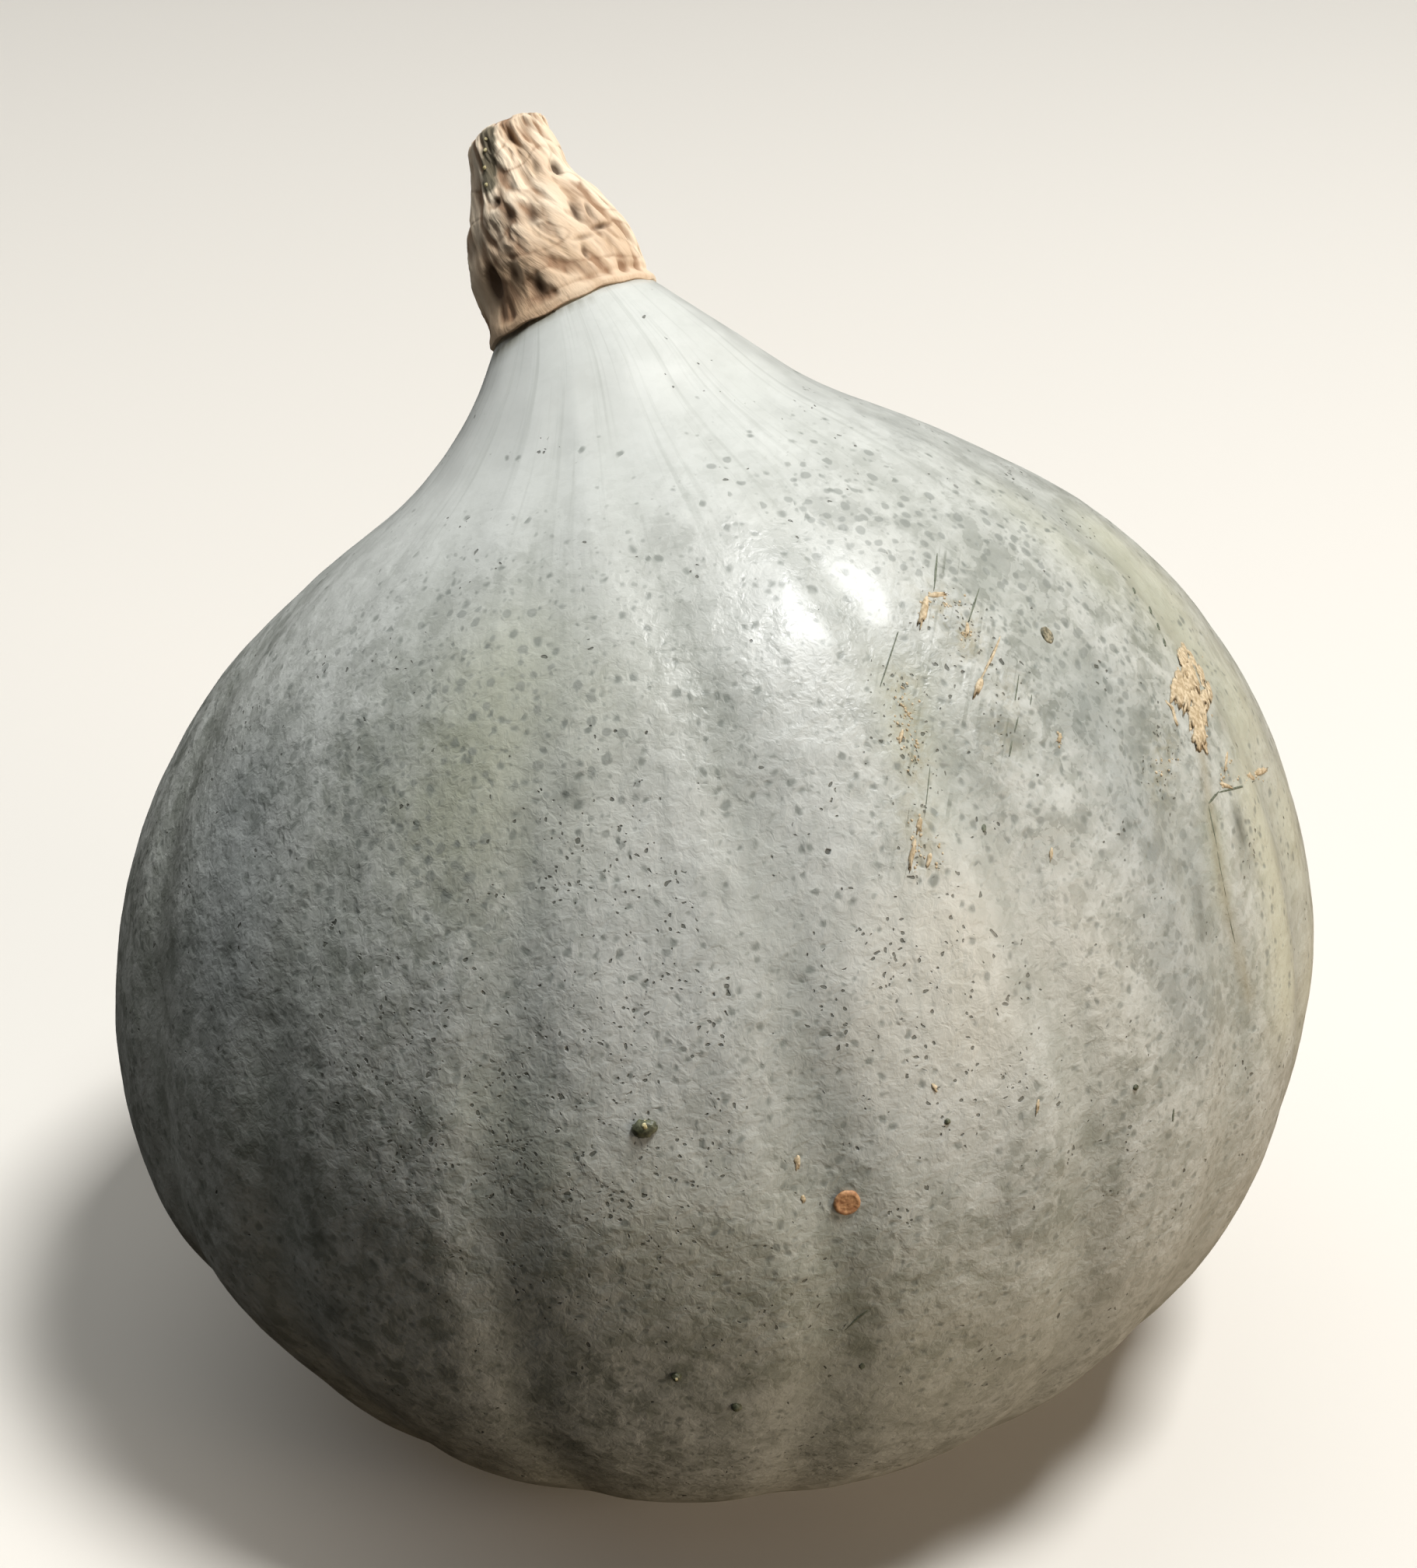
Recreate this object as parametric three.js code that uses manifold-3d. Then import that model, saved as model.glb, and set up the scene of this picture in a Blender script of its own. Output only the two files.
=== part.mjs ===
// A kabocha squash: a ribbed fruit whose neck leans over, and the corky stub of its stem.
// Millimetres, +Z up. The fruit rests on its blossom end, and its front faces -Y.
import * as THREE from "three";
import { mergeVertices } from "three/addons/utils/BufferGeometryUtils.js";
import Module from "manifold-3d";

const wasm = await Module();
wasm.setup();

// Driving dimensions
const HALF_WIDTH = 100;
const STEM_LENGTH = 32;
const STEM_GAP = 0.3;
const STEM_DENT = 0.6; // how far the cut end's middle is sunk

// The grooves between the ribs: depth, and degrees from a groove's middle to where it is a third as
// deep. They deepen between two sections, and from a third one they fade towards the neck.
const GROOVE = { depth: 1.5, spread: 3.8, from: 2, full: 4, fades: 5, leftAtNeck: 0.15 };

// The plane of the ring where the stem sits leans to the left and to the back.
const RING_TILT = THREE.MathUtils.degToRad(36);
const RING_LEAN = new THREE.Vector2(-0.366, 0.471).normalize();

// Sections of the fruit, from the blossom end to the stem's ring, as shares of the half-width:
// height, radius, and how far the section's middle lies to the right and to the back.
const SECTIONS = [
  { name: "dimple", height: 0.05, radius: 0, right: -0.05, back: -0.035 },
  { name: "resting ring, inside", height: 0, radius: 0.2, right: -0.05, back: -0.035 },
  { name: "resting ring, outside", height: 0, radius: 0.32, right: -0.05, back: -0.035 },
  { name: "foot", height: 0.07, radius: 0.63, right: -0.05, back: -0.035 },
  { name: "low side", height: 0.22, radius: 0.821, right: -0.015, back: -0.015 },
  { name: "side", height: 0.45, radius: 0.964, right: -0.008, back: -0.005 },
  { name: "widest", height: 0.72, radius: 1, right: 0, back: 0 },
  { name: "high side", height: 0.98, radius: 0.949, right: -0.013, back: 0.01 },
  { name: "shoulder", height: 1.183, radius: 0.847, right: -0.035, back: 0.015 },
  { name: "shoulder top", height: 1.35, radius: 0.71, right: -0.072, back: 0.015 },
  { name: "foot of the neck", height: 1.49, radius: 0.525, right: -0.118, back: 0.01 },
  { name: "neck", height: 1.61, radius: 0.326, right: -0.151, back: 0.01 },
  { name: "throat", height: 1.71, radius: 0.215, right: -0.175, back: 0.03 },
  { name: "stem ring", height: 1.79, radius: 0.133, right: -0.21, back: 0.075 },
];
const LAST = SECTIONS.length - 1;
const FOOT = SECTIONS.findIndex(({ name }) => name === "foot");

// Where each groove between two ribs runs, in degrees from the front towards the right: at four
// places evenly spaced from the foot to the stem ring.
const GROOVES = [
  [-84, -86, -100, -110],
  [-57, -61.5, -77, -90],
  [-35, -41.7, -31.5, -42],
  [-13, -17.5, -14.7, -18],
  [11, 9, 2.5, -5],
  [37, 33, 24, 20],
  [50, 53, 45, 42],
  [67, 71, 72, 70],
  [95, 96, 95, 94],
  [117, 118, 117, 117],
  [140, 141, 139, 138],
  [162, 163, 161, 158],
  [185, 186, 182, 176],
  [207, 208, 202, 194],
  [230, 230, 221, 213],
  [253, 252, 240, 232],
];

// The stem along its own axis: height above the ring, radius, and how far its middle lies to the
// right, all in millimetres of a stem STEM_LENGTH long.
const STEM_SECTIONS = [
  { height: 0, radius: 13.4, right: -0.4 },
  { height: 4, radius: 12.9, right: -0.1 },
  { height: 9, radius: 12.8, right: -0.3 },
  { height: 13, radius: 11.8, right: -0.3 },
  { height: 17, radius: 10.6, right: -0.6 },
  { height: 20.5, radius: 8.6, right: -0.8 },
  { height: 24.5, radius: 7.5, right: -0.4 },
  { height: 28, radius: 6.7, right: -0.3 },
  { height: 30.5, radius: 6.1, right: 0 },
  { height: STEM_LENGTH, radius: 5.3, right: 0.7 },
];
const STEM_TWIST = THREE.MathUtils.degToRad(35);
const STEM_RIDGES = { count: 5, height: 0.75 };
const STEM_FURROWS = { count: 11, height: 0.4, sway: 2.5 };
const STEM_KNOTS = { count: 3, height: 0.35 };

// Corky warts and scabs on the skin: degrees from the front, place along the sections, the dome's
// half-size around, half-size along and height in millimetres.
const SCABS = [
  { name: "round scab", turn: 11, section: 6.19, wide: 2.3, tall: 2.3, high: 0.6 },
  { name: "wart", turn: -5, section: 6.61, wide: 1.7, tall: 1.4, high: 1.2 },
  { name: "low wart", turn: -2.5, section: 5.28, wide: 1.5, tall: 1.3, high: 0.8 },
  { name: "lowest wart", turn: 2.5, section: 5.05, wide: 1.2, tall: 1.2, high: 0.7 },
  { name: "oval scab", turn: 47, section: 8.7, wide: 1.8, tall: 3, high: 0.7 },
  { name: "scratch scab", turn: 34.5, section: 8.57, wide: 1.2, tall: 3.2, high: 0.6 },
  { name: "cork, top", turn: 69, section: 8.15, wide: 2.6, tall: 3.4, high: 0.8 },
  { name: "cork, upper", turn: 67, section: 8.05, wide: 3, tall: 3.2, high: 1 },
  { name: "cork, middle", turn: 64, section: 7.98, wide: 2.6, tall: 3.4, high: 0.9 },
  { name: "cork, lower", turn: 62.5, section: 7.85, wide: 2, tall: 3, high: 0.8 },
  { name: "cork, bottom", turn: 61, section: 7.75, wide: 1.4, tall: 2.4, high: 0.7 },
];

// How fine the meshes are
const STEPS_PER_RIB = 6;
const STEPS_PER_SECTION = 3;
const STEM_AROUND = 44;
const STEM_ALONG = 28;

const smooth = THREE.MathUtils.smoothstep;
const lerp = THREE.MathUtils.lerp;

// A curve through all its points, with the ends reflected.
const through = (points) => new THREE.CatmullRomCurve3(points, false, "catmullrom", 0.5);

const middles = through(
  SECTIONS.map(({ height, right, back }) =>
    new THREE.Vector3(right, back, height).multiplyScalar(HALF_WIDTH),
  ),
);
const girths = through(SECTIONS.map(({ radius }) => new THREE.Vector3(radius * HALF_WIDTH)));

// The axes of the section at a place along the fruit: its normal turns from upright at the foot
// to the ring's own at the neck. right and back lie in the section.
function sectionAxes(section) {
  const share = THREE.MathUtils.clamp((section - FOOT) / (LAST - FOOT), 0, 1);
  const tilt = RING_TILT * share * share * (1.5 - 0.5 * share);
  const lean = RING_LEAN.clone().multiplyScalar(Math.sin(tilt));
  const normal = new THREE.Vector3(lean.x, lean.y, Math.cos(tilt));
  const right = new THREE.Vector3(1, 0, 0).projectOnPlane(normal).normalize();
  const back = normal.clone().cross(right);
  return { normal, right, back };
}

// The direction in a section, some degrees from the front towards the right.
function outward({ right, back }, degrees) {
  const angle = THREE.MathUtils.degToRad(degrees);
  return right
    .clone()
    .multiplyScalar(Math.sin(angle))
    .addScaledVector(back, -Math.cos(angle));
}

// A point of the fruit at a section and a turn in degrees, some millimetres out from its smooth form.
function skinPoint(section, degrees, relief) {
  const middle = middles.getPoint(section / LAST);
  const radius = girths.getPoint(section / LAST).x;
  const point = middle.addScaledVector(outward(sectionAxes(section), degrees), radius + relief);
  point.z = Math.max(point.z, 0);
  return point;
}

// Where a groove runs at a section, in degrees from the front. Its first turn holds up to the foot.
const grooveLines = GROOVES.map((turns) => through(turns.map((turn) => new THREE.Vector3(turn))));
function grooveTurn(groove, section) {
  const share = THREE.MathUtils.clamp((section - FOOT) / (LAST - FOOT), 0, 1);
  return grooveLines[groove].getPoint(share).x;
}

// The turn of a place on the ribs: whole numbers are grooves, and the fraction is the share of the
// way across the rib to the next one.
function ribTurn(rib, section) {
  const index = Math.floor(rib);
  const next = (index + 1) % GROOVES.length;
  const start = grooveTurn(index, section);
  const end = grooveTurn(next, section) + (next === 0 ? 360 : 0);
  return lerp(start, end, rib - index);
}

// How deep the skin lies in the groove at a turn: deepest low on the side, none under the foot.
function grooveDepth(turn, section) {
  const away = GROOVES.map((turns, groove) => {
    const degrees = THREE.MathUtils.euclideanModulo(turn - grooveTurn(groove, section), 360);
    return Math.min(degrees, 360 - degrees);
  });
  const valley = Math.exp(-((Math.min(...away) / GROOVE.spread) ** 2));
  const fade = lerp(1, GROOVE.leftAtNeck, smooth(section, GROOVE.fades, LAST));
  return GROOVE.depth * smooth(section, GROOVE.from, GROOVE.full) * fade * valley;
}

// A point of the ribbed skin.
const ribbedPoint = (section, turn) => skinPoint(section, turn, -grooveDepth(turn, section));

// A closed skin over rings of points, between an end point below and one above.
function closedSkin(start, rings, end) {
  const around = rings[0].length;
  const points = [start, ...rings.flat(), end];
  const at = (ring, turn) => 1 + ring * around + (turn % around);
  const top = rings.length - 1;
  const faces = [];
  for (let turn = 0; turn < around; turn++) {
    faces.push(0, at(0, turn + 1), at(0, turn));
    for (let ring = 0; ring < top; ring++) {
      faces.push(at(ring, turn), at(ring, turn + 1), at(ring + 1, turn + 1));
      faces.push(at(ring, turn), at(ring + 1, turn + 1), at(ring + 1, turn));
    }
    faces.push(at(top, turn), at(top, turn + 1), points.length - 1);
  }
  const geometry = new THREE.BufferGeometry().setFromPoints(points);
  geometry.setIndex(faces);
  return geometry;
}

// The ribbed fruit, from the blossom end's dimple up to the flat ring under the stem.
function fruitSkin() {
  const rings = [];
  for (let step = 1; step <= LAST * STEPS_PER_SECTION; step++) {
    const section = step / STEPS_PER_SECTION;
    const ring = [];
    for (let n = 0; n < GROOVES.length * STEPS_PER_RIB; n++) {
      ring.push(ribbedPoint(section, ribTurn(n / STEPS_PER_RIB, section)));
    }
    rings.push(ring);
  }
  return closedSkin(middles.getPoint(0), rings, middles.getPoint(1));
}

// A solid for joining and cutting, made of a mesh whose shared points are merged.
function solidOf(geometry) {
  geometry.deleteAttribute("normal");
  geometry.deleteAttribute("uv");
  const merged = mergeVertices(geometry, 1e-4);
  return new wasm.Manifold(
    new wasm.Mesh({
      numProp: 3,
      vertProperties: merged.getAttribute("position").array,
      triVerts: new Uint32Array(merged.index.array),
    }),
  );
}

function geometryOf(solid) {
  const { vertProperties, triVerts } = solid.getMesh();
  const geometry = new THREE.BufferGeometry();
  geometry.setAttribute("position", new THREE.BufferAttribute(vertProperties, 3));
  geometry.setIndex(new THREE.BufferAttribute(triVerts, 1));
  geometry.computeVertexNormals();
  return geometry;
}

// A low dome that stands on the skin, with half of it sunk in.
function scabDome({ turn, section, wide, tall, high }) {
  const place = ribbedPoint(section, turn);
  const around = skinPoint(section, turn + 1, 0).sub(skinPoint(section, turn - 1, 0)).normalize();
  const up = skinPoint(section + 0.1, turn, 0).sub(skinPoint(section - 0.1, turn, 0)).normalize();
  const out = around.clone().cross(up).normalize();
  const dome = new THREE.SphereGeometry(1, 12, 8);
  dome.scale(wide, tall, high);
  dome.applyMatrix4(new THREE.Matrix4().makeBasis(around, out.clone().cross(around), out));
  dome.translate(place.x, place.y, place.z);
  return solidOf(dome);
}

function fruitGeometry() {
  const domes = SCABS.map(scabDome);
  return geometryOf(domes.reduce((fruit, dome) => fruit.add(dome), solidOf(fruitSkin())));
}

// The stem's relief: broad ridges and finer corky furrows that wind a little as they climb, and
// knots. It fades out at the foot and partly at the cut end.
function stemRelief(angle, share) {
  const wound = angle + STEM_TWIST * share;
  const sway = STEM_FURROWS.sway * Math.sin(7 * share);
  const ridges = STEM_RIDGES.height * Math.cos(STEM_RIDGES.count * wound + 0.6);
  const furrows = STEM_FURROWS.height * Math.cos(STEM_FURROWS.count * wound + sway);
  const winding = Math.sin(STEM_KNOTS.count * angle + 9 * share);
  const knots = STEM_KNOTS.height * winding * Math.sin(14 * share);
  return (ridges + furrows + knots) * smooth(share, 0, 0.12) * (1 - 0.5 * smooth(share, 0.8, 1));
}

// The stem stands on the ring, along the ring's own normal.
function stemGeometry() {
  const axes = sectionAxes(LAST);
  const foot = middles.getPoint(1).addScaledVector(axes.normal, STEM_GAP);
  const axis = through(
    STEM_SECTIONS.map(({ height, radius, right }) => new THREE.Vector3(right, radius, height)),
  );
  const along = (height, right) =>
    foot.clone().addScaledVector(axes.normal, height).addScaledVector(axes.right, right);
  const rings = [];
  for (let step = 0; step <= STEM_ALONG; step++) {
    const share = step / STEM_ALONG;
    const { x: right, y: radius, z: height } = axis.getPoint(share);
    const ring = [];
    for (let n = 0; n < STEM_AROUND; n++) {
      const degrees = (360 * n) / STEM_AROUND;
      const relief = stemRelief(THREE.MathUtils.degToRad(degrees), share);
      const out = outward(axes, degrees).multiplyScalar(radius + relief);
      ring.push(along(height, right).add(out));
    }
    rings.push(ring);
  }
  const { x: topRight, z: topHeight } = axis.getPoint(1);
  const geometry = closedSkin(foot, rings, along(topHeight - STEM_DENT, topRight));
  geometry.computeVertexNormals();
  return geometry;
}

const skin = new THREE.MeshStandardMaterial({ color: "#a3aaa2", roughness: 0.5, metalness: 0 });
const cork = new THREE.MeshStandardMaterial({ color: "#cfae86", roughness: 0.9, metalness: 0 });

const fruit = new THREE.Mesh(fruitGeometry(), skin);
fruit.name = "fruit";

const stem = new THREE.Mesh(stemGeometry(), cork);
stem.name = "stem";

const squash = new THREE.Group();
squash.add(fruit, stem);

export default squash;
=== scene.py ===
# %% [markdown]
# # A kabocha squash
#
# A kabocha is a winter squash: a heavy, ribbed fruit with a hard grey-green skin and a corky stem.
# This lesson dresses the plain CAD solids of one squash with the detail of the real thing. The
# fruit and the stem are each one closed skin, bent out of a ball, and the scars, warts and
# flakes of cork are small pieces set onto that skin. All lengths are millimetres until the last
# moment, when they turn into Blender's metres.

import math
import random

import bmesh
import bpy
import numpy as np
from mathutils import Matrix, Vector, noise
from mathutils.bvhtree import BVHTree


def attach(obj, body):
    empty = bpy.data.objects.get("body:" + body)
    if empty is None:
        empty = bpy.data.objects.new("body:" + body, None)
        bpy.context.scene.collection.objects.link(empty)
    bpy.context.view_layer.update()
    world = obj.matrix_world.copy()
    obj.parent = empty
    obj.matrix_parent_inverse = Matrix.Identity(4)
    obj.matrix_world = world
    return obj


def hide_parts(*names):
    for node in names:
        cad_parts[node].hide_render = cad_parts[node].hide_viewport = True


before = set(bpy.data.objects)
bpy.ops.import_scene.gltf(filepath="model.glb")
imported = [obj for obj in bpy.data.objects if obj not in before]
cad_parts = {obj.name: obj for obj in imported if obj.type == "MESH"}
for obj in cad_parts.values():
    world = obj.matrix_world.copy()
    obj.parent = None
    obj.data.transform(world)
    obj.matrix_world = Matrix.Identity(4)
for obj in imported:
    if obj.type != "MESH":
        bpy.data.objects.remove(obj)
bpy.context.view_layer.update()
MM = 0.001

# %% [markdown]
# ## The camera comes first
#
# The photograph looks down at the squash a little, from close by. The camera stands there from
# the start, because the marks on the skin are placed by where the photograph shows them: a ray
# goes from the camera through a pixel until it meets the skin. That keeps every mark on the
# surface, whatever the surface does later.

# %% The camera
PHOTO = (1822, 2016)
FOCAL_PIXELS = 3888
AIM = Vector((-0.45, 0, 100.6))
ELEVATION = math.radians(27)
DISTANCE = 500

to_camera = Vector((0, -math.cos(ELEVATION), math.sin(ELEVATION)))
eye = AIM + DISTANCE * to_camera
lens = bpy.data.cameras.new("camera")
lens.sensor_width = 36
lens.lens = 36 * FOCAL_PIXELS / max(PHOTO)
lens.clip_start, lens.clip_end = 0.01, 50
camera = bpy.data.objects.new("camera", lens)
camera.location = eye * MM
camera.rotation_euler = (math.pi / 2 - ELEVATION, 0, 0)
bpy.context.collection.objects.link(camera)
bpy.context.scene.camera = camera


def pixel_ray(x, y):
    """The direction from the camera through a pixel of the photograph."""
    sideways, upwards = x - PHOTO[0] / 2, PHOTO[1] / 2 - y
    ray = Vector((sideways, upwards, -FOCAL_PIXELS)).normalized()
    return Matrix.Rotation(math.pi / 2 - ELEVATION, 3, "X") @ ray


print("eye at", [round(part, 1) for part in eye], "lens", round(lens.lens, 2))

# %% [markdown]
# ## The form of the fruit
#
# A squash grows in rings round its own axis, from the blossom end that it rests on to the stem.
# Here the axis bends, because the neck leans over. So the form is a row of round sections, each
# with a height, a radius and a middle, and the sections lean more and more towards the neck. A
# smooth curve through them gives every section in between. The same numbers make the CAD solid.

# %% Sections along the fruit
HALF_WIDTH = 100
# height, radius, right and back, as shares of the half-width
SECTIONS = HALF_WIDTH * np.array([
    (0.05, 0, -0.05, -0.035),  # dimple of the blossom end
    (0, 0.2, -0.05, -0.035),  # resting ring
    (0, 0.32, -0.05, -0.035),
    (0.07, 0.63, -0.05, -0.035),  # foot
    (0.22, 0.821, -0.015, -0.015),
    (0.45, 0.964, -0.008, -0.005),
    (0.72, 1, 0, 0),  # widest
    (0.98, 0.949, -0.013, 0.01),
    (1.183, 0.847, -0.035, 0.015),  # shoulder
    (1.35, 0.71, -0.072, 0.015),
    (1.49, 0.525, -0.118, 0.01),  # foot of the neck
    (1.61, 0.326, -0.151, 0.01),
    (1.71, 0.215, -0.175, 0.03),
    (1.79, 0.133, -0.21, 0.075),  # stem ring
])
FOOT, LAST = 3, len(SECTIONS) - 1
RING_TILT = math.radians(36)
RING_LEAN = np.array([-0.366, 0.471]) / math.hypot(-0.366, 0.471)


def through(rows, place):
    """A smooth curve through rows of numbers, read at some places counted in rows."""
    reach = np.vstack([2 * rows[0] - rows[1], rows, 2 * rows[-1] - rows[-2]])
    row = np.clip(np.floor(place).astype(int), 0, len(rows) - 2)
    share = (place - row)[:, None]
    before, start, end, after = (reach[row + step] for step in range(4))
    return 0.5 * (
        2 * start
        + (end - before) * share
        + (2 * before - 5 * start + 4 * end - after) * share**2
        + (3 * start - before - 3 * end + after) * share**3
    )


def lean_share(place):
    return np.clip((place - FOOT) / (LAST - FOOT), 0, 1)


def section_axes(place):
    """The directions right, back and up along the axis, of the sections at some places."""
    share = lean_share(place)
    tilt = RING_TILT * share**2 * (1.5 - 0.5 * share)
    up = np.stack([np.sin(tilt) * RING_LEAN[0], np.sin(tilt) * RING_LEAN[1], np.cos(tilt)], 1)
    right = np.array([1, 0, 0]) - up[:, :1] * up
    right /= np.linalg.norm(right, axis=1)[:, None]
    return right, np.cross(up, right), up


def skin_points(turn, place, relief):
    """Points of the fruit: turn in radians from the front, place along it, and height above it."""
    height, radius, right_way, back_way = through(SECTIONS, place).T
    right, back, _ = section_axes(place)
    out = right * np.sin(turn)[:, None] - back * np.cos(turn)[:, None]
    points = np.stack([right_way, back_way, height], 1) + out * (radius + relief)[:, None]
    points[:, 2] = np.maximum(points[:, 2], 0)
    return points


print("fruit height", SECTIONS[-1, 0], "mm, sections", len(SECTIONS))

# %% [markdown]
# ## Ribs and grooves
#
# The ribs of a kabocha are shallow, and the grooves between them are soft valleys that run from
# the blossom end to the stem, a little crooked. Each groove is a line of turns round the fruit,
# read at four places. The skin sinks towards the nearest line, most low on the side.

# %% The grooves
GROOVES = np.array([
    (-84, -86, -100, -110), (-57, -61.5, -77, -90), (-35, -41.7, -31.5, -42),
    (-13, -17.5, -14.7, -18), (11, 9, 2.5, -5), (37, 33, 24, 20), (50, 53, 45, 42),
    (67, 71, 72, 70), (95, 96, 95, 94), (117, 118, 117, 117), (140, 141, 139, 138),
    (162, 163, 161, 158), (185, 186, 182, 176), (207, 208, 202, 194), (230, 230, 221, 213),
    (253, 252, 240, 232),
])  # fmt: skip
GROOVE_DEPTH, GROOVE_SPREAD, LEFT_AT_NECK = 1.5, 3.8, 0.06


def smooth(value, low, high):
    share = np.clip((value - low) / (high - low), 0, 1)
    return share * share * (3 - 2 * share)


def groove_share(turn, place, spread=GROOVE_SPREAD):
    """How deep in a groove a place lies: 1 on its line, falling off over some degrees."""
    lines = through(GROOVES.T, 3 * lean_share(place))
    away = np.abs((np.degrees(turn)[:, None] - lines + 180) % 360 - 180).min(axis=1)
    wider = (HALF_WIDTH / np.maximum(through(SECTIONS, place)[:, 1], 20)) ** 0.7
    return np.exp(-((away / (spread * wider)) ** 2))


def groove_depth(turn, place):
    fade = 1 + (LEFT_AT_NECK - 1) * smooth(place, 5, LAST)
    return GROOVE_DEPTH * smooth(place, 2, 4) * fade * groove_share(turn, place)


print("grooves", len(GROOVES), "deepest", GROOVE_DEPTH, "mm")

# %% [markdown]
# ## The skin of the fruit
#
# The real skin is hard and waxy, with soft lumps as wide as a thumb, smaller dents like beaten
# metal, and pulled folds round the stem. It could be sculpted by hand or made with displacement.
# Here a ball gets its rings spread evenly from end to end and every point moved by the form
# above, so that the lumps are real geometry. The finest dents are left to the material.

# %% A ball bent into the fruit
FRUIT_AROUND, FRUIT_RINGS = 448, 200
LUMPS = [(28, 0.5), (10, 0.22), (4, 0.1)]  # width and height of the soft lumps, in millimetres
FOLD_HEIGHT, CREST_HEIGHT = 0.15, 0.3
WANDER = 1.3  # degrees that a groove strays from its line
CREST_TURN, CREST_SPREAD = 4.5, 3  # each groove has a low crest beside it


def lumps(points, size, seed):
    """Smooth random heights from -1 to 1 at some points, with bumps of about one size."""
    shift = Vector((seed, 3 * seed, 7 * seed))
    return np.array([noise.noise(Vector(point) / size + shift) for point in points])


def ball(around, rings):
    """A closed ball out of a rolled-up grid, and each point's turn from the front and ring."""
    shape = bmesh.new()
    bmesh.ops.create_grid(shape, x_segments=around, y_segments=rings, size=0.5)
    for vertex in shape.verts:
        turn, rise = 2 * math.pi * vertex.co.x, math.pi * vertex.co.y
        out = math.cos(rise)
        vertex.co = out * math.sin(turn), -out * math.cos(turn), math.sin(rise)
    bmesh.ops.remove_doubles(shape, verts=shape.verts, dist=1e-5)
    points = np.array([vertex.co for vertex in shape.verts])
    turn = np.arctan2(points[:, 0], -points[:, 1])
    ring = (np.arctan2(points[:, 2], np.hypot(points[:, 0], points[:, 1])) / math.pi + 0.5) * rings
    return shape, turn, ring


def even_places(ring, rings):
    """Spreads rings evenly over the length of the fruit's side. The last one closes the top."""
    steps = np.linspace(0, LAST, 2000)
    height, radius = through(SECTIONS, steps).T[:2]
    length = np.concatenate([[0], np.cumsum(np.hypot(np.diff(height), np.diff(radius)))])
    share = np.clip(ring / (rings - 1), 0, 1)
    return np.interp(share * length[-1], length, steps), share * length[-1]


skin_mesh, turn, ring = ball(FRUIT_AROUND, FRUIT_RINGS)
place, length = even_places(ring, FRUIT_RINGS)
plain = skin_points(turn, place, 0 * turn)
standing = smooth(place, 2.2, 4)  # nothing rough on the resting ring
near_stem = smooth(place, 9.5, 13)
folds = np.array([
    noise.noise(Vector((2.2 * math.sin(t), 2.2 * math.cos(t), 0.25 * p))) for t, p in zip(turn, place)
])
crooked = turn + np.radians(WANDER) * lumps(plain, 24, 5)
crest = groove_share(crooked + math.radians(CREST_TURN), place, CREST_SPREAD)
crest *= smooth(place, 4.5, 6) * (1 - near_stem)
relief = sum(high * lumps(plain, wide, seed) for seed, (wide, high) in enumerate(LUMPS, 1))
relief = standing * (relief + FOLD_HEIGHT * near_stem * folds + CREST_HEIGHT * crest)
relief *= 1 - 0.7 * smooth(place, 12.3, 13)  # calmer under the foot of the stem
top = ring > FRUIT_RINGS - 0.5
points = skin_points(turn, place, relief - groove_depth(crooked, place))
points[top] = SECTIONS[-1, 2], SECTIONS[-1, 3], SECTIONS[-1, 0]
for vertex, point in zip(skin_mesh.verts, points):
    vertex.co = point
skin_tree = BVHTree.FromBMesh(skin_mesh)
print("skin points", len(points), "box", points.min(0).round(1), points.max(0).round(1))

# %% Where a pixel lies on the skin
def skin_at(x, y):
    """The point and the outward direction of the skin that the photograph shows at a pixel."""
    spot, normal, _, _ = skin_tree.ray_cast(eye, pixel_ray(x, y))
    if spot is None:
        raise ValueError(f"pixel {x}, {y} misses the fruit")
    return spot, normal


def skin_round(degrees, place):
    """The point and the outward direction of the skin at a turn and a place along the fruit."""
    turn, place = np.radians([degrees]), np.array([float(place)])
    point = Vector(skin_points(turn, place, -groove_depth(turn, place))[0])
    nearest, normal, _, _ = skin_tree.find_nearest(point)
    return nearest, normal


print("round scab at", [round(part, 1) for part in skin_at(1089, 1546)[0]])

# %% [markdown]
# ## Zones of colour
#
# The skin isn't one colour. The neck is pale with a waxy bloom, one shoulder is olive, the left
# side is bluish, the right ribs are yellow-green, and freckles gather in bands. A painter would
# dab these zones on softly. So each zone is a list of strokes through pixels of the photograph,
# with a reach in millimetres, and each point of the skin stores how much of the zone it gets.
# Round the back, which the photograph hides, the strokes go by turn and place instead.

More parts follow.
